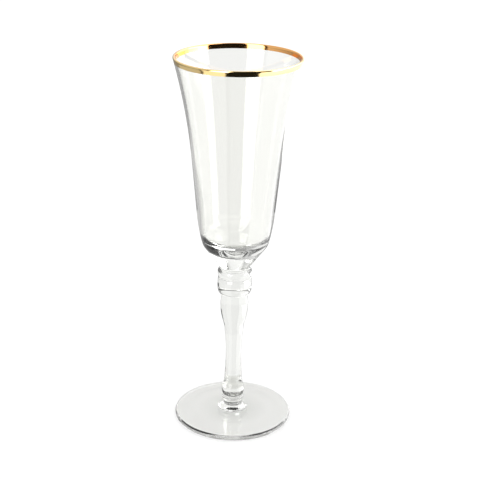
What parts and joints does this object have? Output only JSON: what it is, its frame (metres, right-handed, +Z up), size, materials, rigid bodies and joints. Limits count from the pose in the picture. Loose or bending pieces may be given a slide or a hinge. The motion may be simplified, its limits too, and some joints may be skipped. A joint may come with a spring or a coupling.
{
  "type": "champagne flute",
  "caption": "Tall champagne flute: trumpet-flared glass bowl with a gold-banded rim, on a knopped baluster stem and a round foot.",
  "frame": {"origin": "on the table plane, at the centre of the foot's resting ring", "axes": "+Z up along the flute's axis of revolution; +X to the right and +Y away, though the shape is the same all round"},
  "size_m": [0.072, 0.072, 0.22],
  "materials": {
    "crystal": "clear, fire-polished",
    "gold": "fired liquid gold, polished"
  },
  "bodies": {
    "root": {"foot": "crystal", "foot_flange": "crystal", "base_ring": "crystal", "base_knop": "crystal", "stem_shaft": "crystal", "stem_knop": "crystal", "bowl_collar": "crystal", "bowl": "crystal", "rim_band": "gold"}
  },
  "joints": []
}
